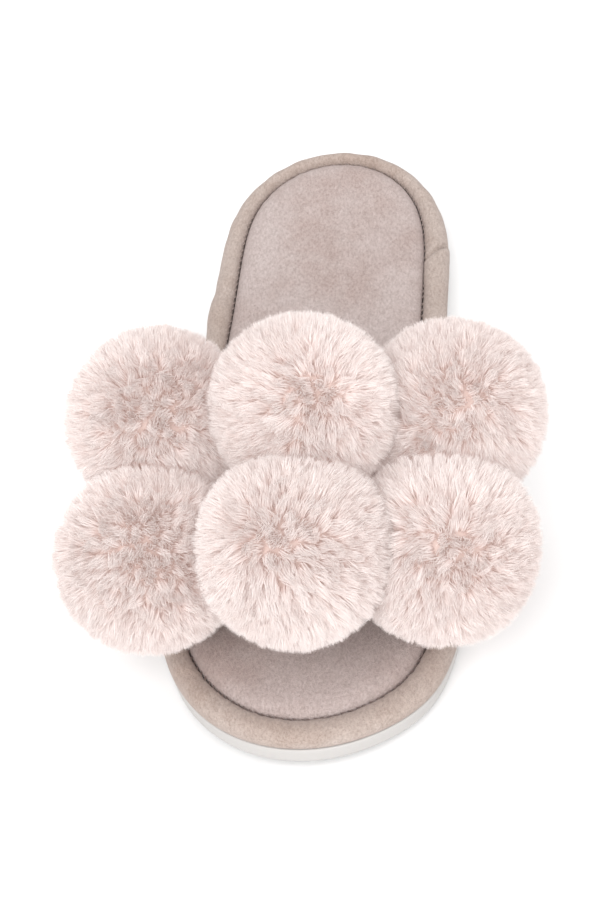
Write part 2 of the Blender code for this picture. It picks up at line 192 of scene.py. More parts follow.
@dataclass(frozen=True)
class SolePlan:
    """The sole's outline, side view and heights, as the solids have them."""

    length: float = 0.250
    toe_radius: float = 0.036
    heel_radius: float = 0.034
    half_widths: tuple[tuple[float, float, float], ...] = (
        # station from toe to heel, lateral, medial
        (0.06, 0.0305, 0.0322),
        (0.14, 0.0417, 0.0430),
        (0.26, 0.0476, 0.0474),
        (0.42, 0.0465, 0.0440),
        (0.56, 0.0425, 0.0393),
        (0.70, 0.0393, 0.0370),
        (0.84, 0.0371, 0.0362),
        (0.93, 0.0303, 0.0296),
    )
    toe_spring: float = 0.0060
    toe_spring_start: float = -0.068
    heel_spring: float = 0.0015
    heel_spring_start: float = 0.098
    outsole_thickness: float = 0.0064
    gap: float = 0.0003
    roll_widths: tuple[tuple[float, float, float], ...] = (
        # station from toe to heel, lateral, medial
        (0.00, 0.0094, 0.0094),
        (0.06, 0.0084, 0.0090),
        (0.14, 0.0071, 0.0083),
        (0.28, 0.0068, 0.0078),
        (0.56, 0.0068, 0.0076),
        (0.84, 0.0066, 0.0074),
        (0.94, 0.0058, 0.0062),
        (1.00, 0.0050, 0.0050),
    )
    tangent_step: float = 0.002

    @property
    def bed(self) -> float:
        """Height above the underside at which the roll, the footbed and the band stand."""
        return self.outsole_thickness + self.gap

    def smooth(self, xs: Array, ys: Array, x: Array) -> Array:
        """Natural cubic spline through the rows (xs, ys): its bend is 0 at both ends."""
        step = np.diff(xs)
        slope = np.diff(ys) / step
        system = np.eye(len(xs))
        target = np.zeros(len(xs))
        for i in range(1, len(xs) - 1):
            system[i, i - 1 : i + 2] = step[i - 1], 2 * (step[i - 1] + step[i]), step[i]
            target[i] = 6 * (slope[i] - slope[i - 1])
        bend = np.linalg.solve(system, target)
        i = np.clip(np.searchsorted(xs, x) - 1, 0, len(xs) - 2)
        low = x - xs[i]
        high = xs[i + 1] - x
        curve = (bend[i] * high**3 + bend[i + 1] * low**3) / (6 * step[i])
        start = (ys[i] / step[i] - bend[i] * step[i] / 6) * high
        return curve + start + (ys[i + 1] / step[i] - bend[i + 1] * step[i] / 6) * low

    def fullness(self, side: Side, station: Array) -> Array:
        """Half-width over sqrt(s (1 - s)), which stays finite at the rounded toe and heel."""
        rows = np.array(self.half_widths)
        s = rows[:, 0]
        inner = rows[:, 2 if side is Side.MEDIAL else 1] / np.sqrt(s * (1 - s))
        tips = np.sqrt(2 * np.array([self.toe_radius, self.heel_radius]) * self.length)
        xs = np.concatenate([[0.0], s, [1.0]])
        ys = np.concatenate([[tips[0]], inner, [tips[1]]])
        return self.smooth(xs, ys, station)

    def point(self, angle: Array) -> Array:
        """Outermost line of the sole from above, as x and y columns.

        The angle runs from the toe tip by the medial side to the heel and back: it sets the
        station as on an ellipse, and each side's fullness sets the half-width.
        """
        station = (1 - np.cos(angle)) / 2
        across = np.sin(angle) / 2
        medial = across * self.fullness(Side.MEDIAL, station)
        lateral = across * self.fullness(Side.LATERAL, station)
        return np.column_stack([np.where(across > 0, medial, lateral), (station - 0.5) * self.length])

    def outwards(self, angle: Array) -> Array:
        """Unit normals of the outline, pointing away from the sole, as x and y columns."""
        along = unit(self.point(angle + self.tangent_step) - self.point(angle - self.tangent_step))
        return np.column_stack([along[:, 1], -along[:, 0]])

    def outline(self, inset: float | Array, angle: Array) -> Array:
        """The outline moved inwards along its normal, as x and y columns."""
        return self.point(angle) - self.outwards(angle) * np.broadcast_to(inset, len(angle))[:, None]

    def roll_width(self, angle: Array) -> Array:
        """Width of the rolled edge at each outline angle."""
        station, lateral, medial = np.array(self.roll_widths).T
        there = (1 - np.cos(angle)) / 2
        on_medial = self.smooth(station, medial, there)
        return np.where(np.sin(angle) > 0, on_medial, self.smooth(station, lateral, there))

    def lift(self, y: Array) -> Array:
        """Height of the underside above the floor: two parabolas past a flat middle."""
        half = self.length / 2
        toe = np.clip((self.toe_spring_start - y) / (self.toe_spring_start + half), 0, None)
        heel = np.clip((y - self.heel_spring_start) / (half - self.heel_spring_start), 0, None)
        return self.toe_spring * toe**2 + self.heel_spring * heel**2

    def ring(self, inset: float | Array, height: float | Array, angle: Array) -> Array:
        """One closed row of points: the inset outline, at a height above the underside."""
        row = self.outline(inset, angle)
        return np.column_stack([row, self.lift(row[:, 1]) + height])

    def seam_x(self, side: Side, y: Array, beyond: float) -> Array:
        """x of the line this far inside the roll, on one side at the given y."""
        angle = side.value * np.linspace(0, math.pi, 720)
        curve = self.outline(self.roll_width(angle) + beyond, angle)
        return np.interp(y, curve[:, 1], curve[:, 0])

    def distance(self, angle: Array) -> Array:
        """Length along the outline from the toe tip to each angle, in metres."""
        fine = np.linspace(0, 2 * math.pi, 2881)
        steps = np.linalg.norm(np.diff(self.point(fine), axis=0), axis=1)
        return np.interp(angle, fine, np.concatenate([[0.0], np.cumsum(steps)]))

    def even_angles(self, count: int) -> Array:
        """Angles round the outline, half by equal turns and half by equal lengths, even in number.

        Both sides use the same turns, so each point has a partner straight across the sole.
        """
        turns = np.linspace(0, math.pi, count // 2 + 1)
        fine = np.linspace(0, math.pi, 1441)
        length = self.distance(fine)
        by_length = np.interp(np.linspace(0, length[-1], count // 2 + 1), length, fine)
        half = (turns + by_length) / 2
        return np.concatenate([half, 2 * math.pi - half[-2:0:-1]])


def rungs(ring: Array, columns: int) -> tuple[Array, Array]:
    """Points and shares across a closed ring whose points pair up from side to side.

    Row k runs straight from the ring's point n - k on the lateral side to its point k on the
    medial side: lateral + share * (medial - lateral).

    Args:
        ring: an even number of points, the first at the toe tip.
        columns: number of points in a rung.
    Returns:
        A grid of points, rung by rung, and the share of each column.
    """
    half = len(ring) // 2
    medial = ring[: half + 1]
    lateral = ring[(-np.arange(half + 1)) % len(ring)]
    share = np.linspace(0, 1, columns)[None, :, None]
    return lateral[:, None] + share * (medial - lateral)[:, None], share[0, :, 0]


def cap_faces(ring_start: int, count: int, inner_start: int, columns: int) -> Array:
    """Quads that close a ring by its rungs, whose ends are the ring's own points.

    Args:
        ring_start: number of the ring's first point.
        count: number of points in the ring.
        inner_start: number of the first point of the rungs' inner points, stored rung by rung
            without the first and the last rung.
        columns: number of points in a rung, both ends included.
    Returns:
        The quads; those at the tips have a doubled point.
    """
    half = count // 2
    numbers = np.empty((half + 1, columns), dtype=int)
    numbers[:, 0] = ring_start + (-np.arange(half + 1)) % count
    numbers[:, -1] = ring_start + np.arange(half + 1)
    inner = np.arange((half - 1) * (columns - 2)).reshape(half - 1, columns - 2)
    numbers[1:-1, 1:-1] = inner_start + inner
    numbers[0, :] = ring_start
    numbers[-1, :] = ring_start + half
    corners = [numbers[:-1, :-1], numbers[:-1, 1:], numbers[1:, 1:], numbers[1:, :-1]]
    return np.stack(corners, axis=-1).reshape(-1, 4)


def split_faces(faces: Array) -> list[Array]:
    """Quads and triangles apart: a quad with a doubled point becomes a triangle."""
    doubled = faces == np.roll(faces, -1, axis=1)
    whole = faces[~doubled.any(axis=1)]
    flat = faces[doubled.any(axis=1)]
    keep = ~(flat == np.roll(flat, -1, axis=1))
    flat = flat[keep.sum(axis=1) == 3]
    keep = keep[keep.sum(axis=1) == 3]
    return [part for part in (whole, flat[keep].reshape(-1, 3)) if len(part)]


@dataclass(frozen=True)
class StitchRow:
    """Short stitches of thread, each a small pointed barrel, joined into one mesh."""

    width: float
    sides: int = 6
    rings: int = 5

    def shape(self, places: Array, along: Array, up: Array, length: Array) -> tuple[Array, Array]:
        """Points and quads of all the stitches.

        A stitch is a barrel round its axis t from -1 to 1: its radius is half the width times
        (1 - t^4)^0.5, and its middle rises by a tenth of its length.

        Args:
            places: centre of each stitch.
            along: direction of each stitch.
            up: direction away from the cloth.
            length: length of each stitch.
        Returns:
            The points and the quads.
        """
        t = np.linspace(-0.985, 0.985, self.rings)
        turn = np.arange(self.sides) * 2 * math.pi / self.sides
        radius = self.width / 2 * np.sqrt(1 - t**4)
        side = unit(np.cross(along, up))
        raised = unit(np.cross(side, along))
        axis = t[None, :, None] * along[:, None] * length[:, None, None] / 2
        bow = (1 - t**2)[None, :, None] * raised[:, None] * length[:, None, None] * 0.1
        around = (
            np.cos(turn)[None, None, :, None] * side[:, None, None]
            + np.sin(turn)[None, None, :, None] * raised[:, None, None]
        )
        grid = (places[:, None] + axis + bow)[:, :, None] + around * radius[None, :, None, None]
        per = self.rings * self.sides
        one = grid_faces(self.rings, self.sides, close_columns=True)
        ends = np.array([[0, 1, 2, 3], [0, 3, 4, 5]])
        one = np.concatenate([one, ends[:, ::-1], ends + per - self.sides])
        faces = (one[None] + np.arange(len(places))[:, None, None] * per).reshape(-1, 4)
        return grid.reshape(-1, 3), outward(grid.reshape(-1, 3), faces)


# Finishes


class Nodes:
    """A node tree with short ways to add nodes and join their sockets."""

    def __init__(self, tree: bpy.types.NodeTree) -> None:
        """Keeps the tree that the nodes go into."""
        self.tree = tree

    def add(self, kind: str, inputs: dict[str, object] | None = None, **settings: object) -> bpy.types.Node:
        """Adds a node.

        Args:
            kind: Blender's name of the node's type.
            inputs: for each input, a value or the output socket that feeds it.
            settings: properties of the node.
        Returns:
            The new node.
        """
        node = self.tree.nodes.new(kind)
        for key, value in settings.items():
            setattr(node, key, value)
        for key, value in (inputs or {}).items():
            socket = node.inputs[int(key)] if key.isdigit() else node.inputs[key]
            if isinstance(value, bpy.types.NodeSocket):
                self.tree.links.new(value, socket)
            else:
                socket.default_value = value
        return node

    def noise(self, place: bpy.types.NodeSocket, scale: float, detail: float = 2.0) -> bpy.types.NodeSocket:
        """Noise between 0 and 1 at the given scale per metre."""
        values = {"Vector": place, "Scale": scale, "Detail": detail, "Roughness": 0.55}
        return self.add("ShaderNodeTexNoise", values).outputs["Fac"]

    def mix(self, factor: object, first: object, second: object) -> bpy.types.NodeSocket:
        """Colour between two colours."""
        values = {"0": factor, "6": first, "7": second}
        return self.add("ShaderNodeMix", values, data_type="RGBA").outputs[2]

    def span(self, value: bpy.types.NodeSocket, low: float, high: float, to_low: float, to_high: float) -> bpy.types.NodeSocket:
        """The value's span from low to high stretched to another span, and kept inside it."""
        values = {"Value": value, "From Min": low, "From Max": high, "To Min": to_low, "To Max": to_high}
        return self.add("ShaderNodeMapRange", values).outputs["Result"]

    def maths(self, operation: str, first: object, second: object = 0.0) -> bpy.types.NodeSocket:
        """Result of one arithmetic step."""
        return self.add("ShaderNodeMath", {"0": first, "1": second}, operation=operation).outputs[0]


def with_alpha(colour: Colour) -> tuple[float, float, float, float]:
    """The colour with full alpha, as sockets want it."""
    return (*colour, 1.0)


class PileGroup:
    """Shared effect: short brushed pile, with soft patches, nap lines and single fibres."""

    name = "brushed_pile"

    @classmethod
    def tree(cls) -> bpy.types.NodeTree:
        """The node group, built the first time it is asked for."""
        return bpy.data.node_groups.get(cls.name) or cls.build()

    @classmethod
    def build(cls) -> bpy.types.NodeTree:
        """Builds the group.

        Returns:
            A tree with the inputs Base, Shade, Light, Patch Scale, Nap Scale and Relief, and
            the outputs Color and Normal.
        """
        tree = bpy.data.node_groups.new(cls.name, "ShaderNodeTree")
        for name in ("Base", "Shade", "Light"):
            tree.interface.new_socket(name, in_out="INPUT", socket_type="NodeSocketColor")
        for name in ("Patch Scale", "Nap Scale", "Relief"):
            tree.interface.new_socket(name, in_out="INPUT", socket_type="NodeSocketFloat")
        tree.interface.new_socket("Color", in_out="OUTPUT", socket_type="NodeSocketColor")
        tree.interface.new_socket("Normal", in_out="OUTPUT", socket_type="NodeSocketVector")
        nodes = Nodes(tree)
        given = nodes.add("NodeGroupInput").outputs
        place = nodes.add("ShaderNodeTexCoord").outputs["Object"]
        patch = nodes.noise(place, given["Patch Scale"], 3.0)
        brushed = nodes.noise(place, nodes.maths("MULTIPLY", given["Patch Scale"], 4.6), 3.0)
        turned = nodes.add(
            "ShaderNodeMapping",
            {"Vector": place, "Rotation": (0.0, 0.0, 0.6), "Scale": (1.0, 0.6, 1.0)},
        ).outputs["Vector"]
        nap = nodes.noise(turned, given["Nap Scale"], 2.0)
        fibre = nodes.noise(place, nodes.maths("MULTIPLY", given["Nap Scale"], 2.3), 2.0)
        colour = nodes.mix(nodes.span(patch, 0.38, 0.60, 0.0, 1.0), given["Shade"], given["Base"])
        colour = nodes.mix(nodes.span(brushed, 0.48, 0.72, 0.0, 0.35), colour, given["Light"])
        fine = nodes.maths("ADD", nodes.span(nap, 0.3, 0.7, -0.5, 0.5), nodes.span(fibre, 0.3, 0.7, -0.5, 0.5))
        bright = nodes.add("ShaderNodeVectorMath", {"0": colour, "1": (1.22, 1.24, 1.26)}, operation="MULTIPLY")
        dull = nodes.add("ShaderNodeVectorMath", {"0": colour, "1": (0.76, 0.735, 0.72)}, operation="MULTIPLY")
        colour = nodes.mix(nodes.span(fine, 0.0, 0.8, 0.0, 1.0), colour, bright.outputs[0])
        colour = nodes.mix(nodes.span(fine, 0.0, -0.8, 0.0, 1.0), colour, dull.outputs[0])
        bump = nodes.add(
            "ShaderNodeBump", {"Strength": given["Relief"], "Distance": 0.0006, "Height": fine}
        )
        nodes.add("NodeGroupOutput", {"Color": colour, "Normal": bump.outputs["Normal"]})
        return tree


@dataclass(frozen=True)
class Velour:
    """Short-pile velour."""

    name: str
    base: Colour
    shade: Colour
    light: Colour
    # edge: painted shade, the colour blended in where the cloth turns away from view
    edge: Colour
    patch_scale: float = 34.0
    nap_scale: float = 1300.0
    relief: float = 0.40
    sheen: float = 0.30

    def build(self) -> bpy.types.Material:
        """The material: brushed pile feeding a rough, sheeny shader, with painted shade where the cloth turns away
        from view.
        """
        finish = bpy.data.materials.new(self.name)
        finish.use_nodes = True
        nodes = Nodes(finish.node_tree)
        shader = finish.node_tree.nodes["Principled BSDF"]
        shader.inputs["Roughness"].default_value = 0.92
        shader.inputs["Specular IOR Level"].default_value = 0.20
        shader.inputs["Sheen Weight"].default_value = self.sheen
        shader.inputs["Sheen Roughness"].default_value = 0.45
        shader.inputs["Sheen Tint"].default_value = with_alpha((0.95, 0.88, 0.86))
        pile = nodes.add("ShaderNodeGroup", node_tree=PileGroup.tree())
        for key, colour in (("Base", self.base), ("Shade", self.shade), ("Light", self.light)):
            pile.inputs[key].default_value = with_alpha(colour)
        pile.inputs["Patch Scale"].default_value = self.patch_scale
        pile.inputs["Nap Scale"].default_value = self.nap_scale
        pile.inputs["Relief"].default_value = self.relief
        # Painted shade: the colour darkens towards the edge colour where the cloth turns away from view.
        turned_away = nodes.add("ShaderNodeLayerWeight", {"Blend": 0.35}).outputs["Facing"]
        painted_turn_shade = nodes.span(turned_away, 0.25, 1.0, 0.0, 0.75)
        colour = nodes.mix(painted_turn_shade, pile.outputs["Color"], with_alpha(self.edge))
        finish.node_tree.links.new(colour, shader.inputs["Base Color"])
        finish.node_tree.links.new(pile.outputs["Normal"], shader.inputs["Normal"])
        return finish


@dataclass(frozen=True)
class Foam:
    """Moulded foam with a fine closed skin and a few faint scuffs."""

    name: str = "white_foam_skin"
    base: Colour = (0.53, 0.510, 0.495)
    worn: Colour = (0.46, 0.440, 0.425)

    def build(self) -> bpy.types.Material:
        """The material: soft mottle, pores in the bump and rougher scuffs."""
        finish = bpy.data.materials.new(self.name)
        finish.use_nodes = True
        nodes = Nodes(finish.node_tree)
        place = nodes.add("ShaderNodeTexCoord").outputs["Object"]
        mottle = nodes.noise(place, 60.0, 4.0)
        pores = nodes.noise(place, 2600.0, 2.0)
        grain = nodes.noise(place, 700.0, 2.0)
        colour = nodes.mix(nodes.span(mottle, 0.55, 0.80, 0.0, 0.45), with_alpha(self.base), with_alpha(self.worn))
        height = nodes.maths("ADD", pores, nodes.maths("MULTIPLY", grain, 1.5))
        bump = nodes.add("ShaderNodeBump", {"Strength": 0.25, "Distance": 0.0003, "Height": height})
        shader = finish.node_tree.nodes["Principled BSDF"]
        shader.inputs["Specular IOR Level"].default_value = 0.35
        link = finish.node_tree.links.new
        link(colour, shader.inputs["Base Color"])
        link(nodes.span(mottle, 0.3, 0.8, 0.52, 0.72), shader.inputs["Roughness"])
        link(bump.outputs["Normal"], shader.inputs["Normal"])
        return finish


@dataclass(frozen=True)
class Fur:
    """Long-pile fur, deeper in colour at the roots and pale at the tips."""

    name: str = "blush_fur_pile"
    root: Colour = (0.84, 0.700, 0.655)
    middle: Colour = (0.87, 0.780, 0.755)
    tip: Colour = (0.82, 0.765, 0.748)
    shaded: Colour = (0.36, 0.285, 0.260)
    # core: painted shade, a darker colour on the core deep in the fur
    core: Colour = (0.70, 0.575, 0.535)
    # painted light: strength of the fur's glow
    painted_glow: float = 0.120

    def build(self) -> bpy.types.Material:
        """The material: a ramp along each hair, shifted by the hair's own tint, on a core darkened as painted shade
        deep in the fur.

        Painted light: a little of the colour is given off as a glow, in place of the light that
        pale fibres pass on to each other, and less of it at the core and at the tips.
        """
        finish = bpy.data.materials.new(self.name)
        finish.use_nodes = True
        nodes = Nodes(finish.node_tree)
        along = nodes.add("ShaderNodeAttribute", attribute_name="along").outputs["Fac"]
        tint = nodes.add("ShaderNodeAttribute", attribute_name="tint").outputs["Fac"]
        colour = nodes.mix(nodes.span(along, 0.10, 0.62, 0.0, 1.0), with_alpha(self.root), with_alpha(self.middle))
        colour = nodes.mix(nodes.span(along, 0.50, 1.0, 0.0, 1.0), colour, with_alpha(self.tip))
        colour = nodes.mix(nodes.span(tint, 0.5, 1.0, 0.0, 0.55), colour, with_alpha(self.tip))
        colour = nodes.mix(nodes.span(tint, 0.5, 0.0, 0.0, 0.35), colour, with_alpha(self.root))
        # Painted shade: the core takes the darker core colour.
        colour = nodes.mix(nodes.span(along, 0.0, 0.09, 0.0, 1.0), with_alpha(self.core), colour)
        shader = finish.node_tree.nodes["Principled BSDF"]
        shader.inputs["Roughness"].default_value = 0.75
        shader.inputs["Specular IOR Level"].default_value = 0.12
        shader.inputs["Sheen Weight"].default_value = 0.10
        shader.inputs["Sheen Roughness"].default_value = 0.4
        # Painted light: the fur glows in its own colour, dimmer at the core and the tips.
        shader.inputs["Emission Strength"].default_value = self.painted_glow
        finish.node_tree.links.new(colour, shader.inputs["Base Color"])
        # Painted light: the glow's colour, dimmed towards the shaded colour at the core and the tips.
        given = nodes.mix(nodes.span(along, 0.0, 0.34, 0.0, 1.0), with_alpha(self.shaded), colour)
        given = nodes.mix(nodes.span(along, 0.45, 1.0, 0.0, 0.60), given, with_alpha(self.shaded))
        finish.node_tree.links.new(given, shader.inputs["Emission Color"])
        return finish


@dataclass(frozen=True)
class Thread:
    """Spun sewing thread."""

    name: str
    base: Colour
    dark: Colour
    toe: Colour

    def build(self) -> bpy.types.Material:
        """The material: twisted plies by a wave, deeper in colour towards the toe."""
        finish = bpy.data.materials.new(self.name)
        finish.use_nodes = True
        nodes = Nodes(finish.node_tree)
        place = nodes.add("ShaderNodeTexCoord").outputs["Object"]
        plies = nodes.add(
            "ShaderNodeTexWave", {"Vector": place, "Scale": 900.0, "Distortion": 2.0}, bands_direction="DIAGONAL"
        ).outputs["Fac"]
        fuzz = nodes.noise(place, 1500.0)
        colour = nodes.mix(nodes.span(fuzz, 0.3, 0.7, 0.0, 1.0), with_alpha(self.dark), with_alpha(self.base))
        along = nodes.add("ShaderNodeSeparateXYZ", {"0": place}).outputs["Y"]
        colour = nodes.mix(nodes.span(along, -0.08, 0.02, 1.0, 0.0), colour, with_alpha(self.toe))
        bump = nodes.add("ShaderNodeBump", {"Strength": 0.4, "Distance": 0.0002, "Height": plies})
        shader = finish.node_tree.nodes["Principled BSDF"]
        shader.inputs["Roughness"].default_value = 0.8
        finish.node_tree.links.new(colour, shader.inputs["Base Color"])
        finish.node_tree.links.new(bump.outputs["Normal"], shader.inputs["Normal"])
        return finish


@dataclass(frozen=True)
class StudioFloor:
    """Plain pale studio floor."""

    name: str = "studio_floor"
    base: Colour = (0.93, 0.93, 0.93)

    def build(self) -> bpy.types.Material:
        """The material: matte, with a barely visible mottle."""
        finish = bpy.data.materials.new(self.name)
        finish.use_nodes = True
        nodes = Nodes(finish.node_tree)
        place = nodes.add("ShaderNodeTexCoord").outputs["Object"]
        mottle = nodes.noise(place, 3.0)
        dim = tuple(0.985 * part for part in self.base)
        colour = nodes.mix(mottle, with_alpha(self.base), with_alpha(dim))
        shader = finish.node_tree.nodes["Principled BSDF"]
        shader.inputs["Roughness"].default_value = 1.0
        shader.inputs["Specular IOR Level"].default_value = 0.0
        finish.node_tree.links.new(colour, shader.inputs["Base Color"])
        return finish


# Pieces


@dataclass
class Outsole:
    """Moulded foam sole: drafted side, rounded lower edge and two groups of wavy grooves."""

    plan: SolePlan
    inset: float = 0.0003
    draft: float = 0.0007
    edge_round: float = 0.0012
    groove_depth: float = 0.0015
    groove_width: float = 0.0030
    groove_wall: float = 0.0004
    wave: float = 0.0035
    side_margin: float = 0.010
    groove_groups: tuple[tuple[float, float, int], ...] = ((-0.064, -0.016, 5), (0.060, 0.096, 4))
    columns: int = 57
    row_step: float = 0.0035
    top_round: float = 0.0006

    def groove_lines(self) -> Array:
        """Places of the grooves along the sole."""
        return np.concatenate([np.linspace(*group) for group in self.groove_groups])

    def stations(self) -> Array:
        """Places of the rungs along the sole: even ones, with close ones at each groove's walls."""
        half = self.groove_width / 2
        walls = np.array([-half - self.groove_wall, -half, -half + self.groove_wall, 0.0])
        walls = np.unique(np.concatenate([walls, -walls]))
        near = (self.groove_lines()[:, None] + walls[None, :]).ravel()
        limit = self.plan.length / 2
        even = limit * -np.cos(np.linspace(0, math.pi, round(self.plan.length * 1.5 / self.row_step)))
        far = np.abs(even[:, None] - near[None, :]).min(axis=1) > self.row_step * 0.45
        far[[0, -1]] = True
        return np.sort(np.concatenate([even[far], near]))

    def angles(self) -> Array:
        """Outline angles of the stations, by the medial side and back by the lateral side."""
        half = np.arccos(np.clip(-2 * self.stations() / self.plan.length, -1, 1))
        half[0], half[-1] = 0.0, math.pi
        return np.concatenate([half, 2 * math.pi - half[-2:0:-1]])

    def underside(self, ring: Array, rung_y: Array) -> Array:
        """The underside's grid.

        Rungs run straight across. Near the grooves they bend into a wave that fades towards
        the sole's edge: y + wave * cos(4 pi share) * fade. A groove then sinks by its depth
        wherever the rung's own place is inside it.

        Args:
            ring: the ring of points at the underside's edge.
            rung_y: place of each rung along the sole.
        Returns:
            The grid of points, rung by rung.
        """
        grid, share = rungs(ring, self.columns)
        width = np.linalg.norm(grid[:, -1] - grid[:, 0], axis=1)[:, None]
        edge = np.minimum(share, 1 - share)[None, :] * width
        inside = ease(self.side_margin * 0.25, self.side_margin, edge)
        margin = np.minimum(self.side_margin / np.maximum(width, 1e-6), 0.49)
        across = np.clip((share[None, :] - margin) / (1 - 2 * margin), 0, 1)
        lines = self.groove_lines()
        depth = np.zeros_like(edge)
        bend = np.zeros_like(edge)
        for low, high, _ in self.groove_groups:
            reach = np.maximum(low - rung_y, rung_y - high)
            bend += (1 - ease(0.004, 0.016, reach))[:, None]
        off = np.abs(rung_y[:, None] - lines[None, :]).min(axis=1)
        half = self.groove_width / 2
        depth += (1 - ease(half - self.groove_wall, half, off))[:, None]
        ends = ease(self.side_margin - 0.0004, self.side_margin, edge)
        grid[:, :, 1] += self.wave * np.cos(4 * math.pi * across) * inside * bend
        grid[:, :, 2] = self.plan.lift(grid[:, :, 1]) + self.groove_depth * depth * ends
        return grid

    def build(self, finish: bpy.types.Material) -> bpy.types.Object:
        """Builds the sole.

        The side is a stack of rings: a quarter round at the floor, a straight draft, and a
        small round at the top. Rungs close the underside and the top.
        """
        angle = self.angles()
        count = len(angle)
        half = count // 2
        base = self.inset + self.draft
        turn = np.linspace(0, math.pi / 2, 6)
        low = [(base + self.edge_round * (1 - math.sin(a)), self.edge_round * (1 - math.cos(a))) for a in turn]
        rise = np.linspace(self.edge_round, self.plan.outsole_thickness - self.top_round, 5)[1:]
        slope = self.draft / (self.plan.outsole_thickness - self.edge_round)
        side = [(base - slope * (h - self.edge_round), h) for h in rise]
        last = side[-1]
        top = [
            (last[0] + self.top_round * (1 - math.cos(a)), last[1] + self.top_round * math.sin(a))
            for a in np.linspace(0, math.pi / 2, 4)[1:]
        ]
        rows = [self.plan.ring(inset, height, angle) for inset, height in low + side + top]
        stack = np.concatenate(rows)
        under = self.underside(rows[0], self.stations())[1:-1, 1:-1].reshape(-1, 3)
        lid, _ = rungs(rows[-1], 9)
        lid = lid[1:-1, 1:-1].reshape(-1, 3)
        points = np.concatenate([stack, under, lid])
        shell = grid_faces(len(rows), count, close_columns=True)
        floor = cap_faces(0, count, len(stack), self.columns)
        roof = cap_faces((len(rows) - 1) * count, count, len(stack) + len(under), 9)
        faces = np.concatenate([shell, floor[:, ::-1], roof])
        assert len(under) == (half - 1) * (self.columns - 2)
        mesh = build_mesh("foam_outsole", points, split_faces(outward(points, faces)))
        return add_piece(mesh, finish, "white_foam", "outsole")


@dataclass
class EdgeRoll:
    """Padded velour roll round the footbed, with sewn puckers and one lapped join."""

    plan: SolePlan
    width: float = 0.0080
    height: float = 0.0064
    corners: tuple[tuple[Corner, float, int], ...] = (
        # corner, radius, segments
        (Corner.OUTER_BOTTOM, 0.0014, 3),
        (Corner.OUTER_TOP, 0.0043, 11),
        (Corner.INNER_TOP, 0.0034, 10),
        (Corner.INNER_BOTTOM, 0.0006, 2),
    )
    count: int = 720
    pucker: float = 0.00020
    swell: float = 0.00006
    join_at: float = 2.25
    join_slant: float = 0.85
    bulge_at: float = 4.285

    def profile(self) -> tuple[Array, Array, Array]:
        """The cross-section: four round corners joined by straight runs.

        Returns:
            Share of the width, height and outward direction of each point round the roll.
        """
        rows: list[tuple[float, float, float]] = []
        starts = {
            Corner.OUTER_BOTTOM: 270,
            Corner.OUTER_TOP: 180,
            Corner.INNER_TOP: 90,
            Corner.INNER_BOTTOM: 0,
        }
        for corner, radius, segments in self.corners:
            inner, top = corner.value
            centre_in = self.width - radius if inner else radius
            centre_up = self.plan.bed + (self.height - radius if top else radius)
            turns = np.radians(starts[corner] - 90 * np.arange(segments + 1) / segments)
            rows += [(centre_in + radius * math.cos(a), centre_up + radius * math.sin(a), a) for a in turns]
        inset, height, turn = np.array(rows).T
        return inset / self.width, height, turn

    def relief(self, angle: Array, share: Array, turn: Array) -> Array:
        """How far the cloth stands out, for each profile point and outline angle.

        The sum of slow swells, puckers that fade away from the sewn edge, a step and a crease
        at the slanted lapped join, and one soft bulge at the waist.
        """
        s = self.plan.distance(angle)[None, :]
        inner = share[:, None]
        shown = np.clip(0.35 + np.sin(turn), 0, 1)[:, None]
        seam = ease(0.35, 1.0, inner)
        slow = ripple(s, (0.047, 0.031, 0.019, 0.071), 3) * self.swell
        tight = ripple(s + inner * 0.0015, (0.0043, 0.0057, 0.0101), 5) * self.pucker
        turned = ripple(s - inner * 0.0030, (0.0089, 0.0127), 8) * self.pucker * 0.7
        across = (s - self.plan.distance(np.array([self.join_at]))[0]) + (inner - 0.5) * self.width * self.join_slant
        lap = 0.00080 * (1 - ease(-0.0007, 0.0004, across)) * ease(-0.016, -0.002, across)
        crease = -0.00150 * bell(across, 0.0004, 0.00065)
        behind = 0.00035 * ease(0.0005, 0.003, across) * (1 - ease(0.006, 0.022, across))
        bulge = 0.0017 * bell(s, self.plan.distance(np.array([self.bulge_at]))[0], 0.009) * (1 - inner)
        fold = -0.00045 * bell(s - inner * 0.004, self.plan.distance(np.array([5.62]))[0], 0.0016) * (1 - seam)
        return shown * (slow + tight * seam + turned * (1 - seam) + lap + crease + behind + bulge + fold)

    def build(self, finish: bpy.types.Material) -> bpy.types.Object:
        """Builds the roll: its profile carried round the sole, moved out by the relief."""
        angle = self.plan.even_angles(self.count)
        share, height, turn = self.profile()
        relief = self.relief(angle, share, turn)
        ring_inset = share[:, None] * self.plan.roll_width(angle) + np.cos(turn)[:, None] * relief
        ring_height = height[:, None] + np.sin(turn)[:, None] * relief
        rows = [self.plan.ring(i, h, angle) for i, h in zip(ring_inset, ring_height)]
        points = np.concatenate(rows)
        faces = grid_faces(len(rows), self.count, close_rows=True, close_columns=True)
        mesh = build_mesh("velour_edge_roll", points, [outward(points, faces)])
        piece = add_piece(mesh, finish, "edge_velour", "edge_roll")
        return piece


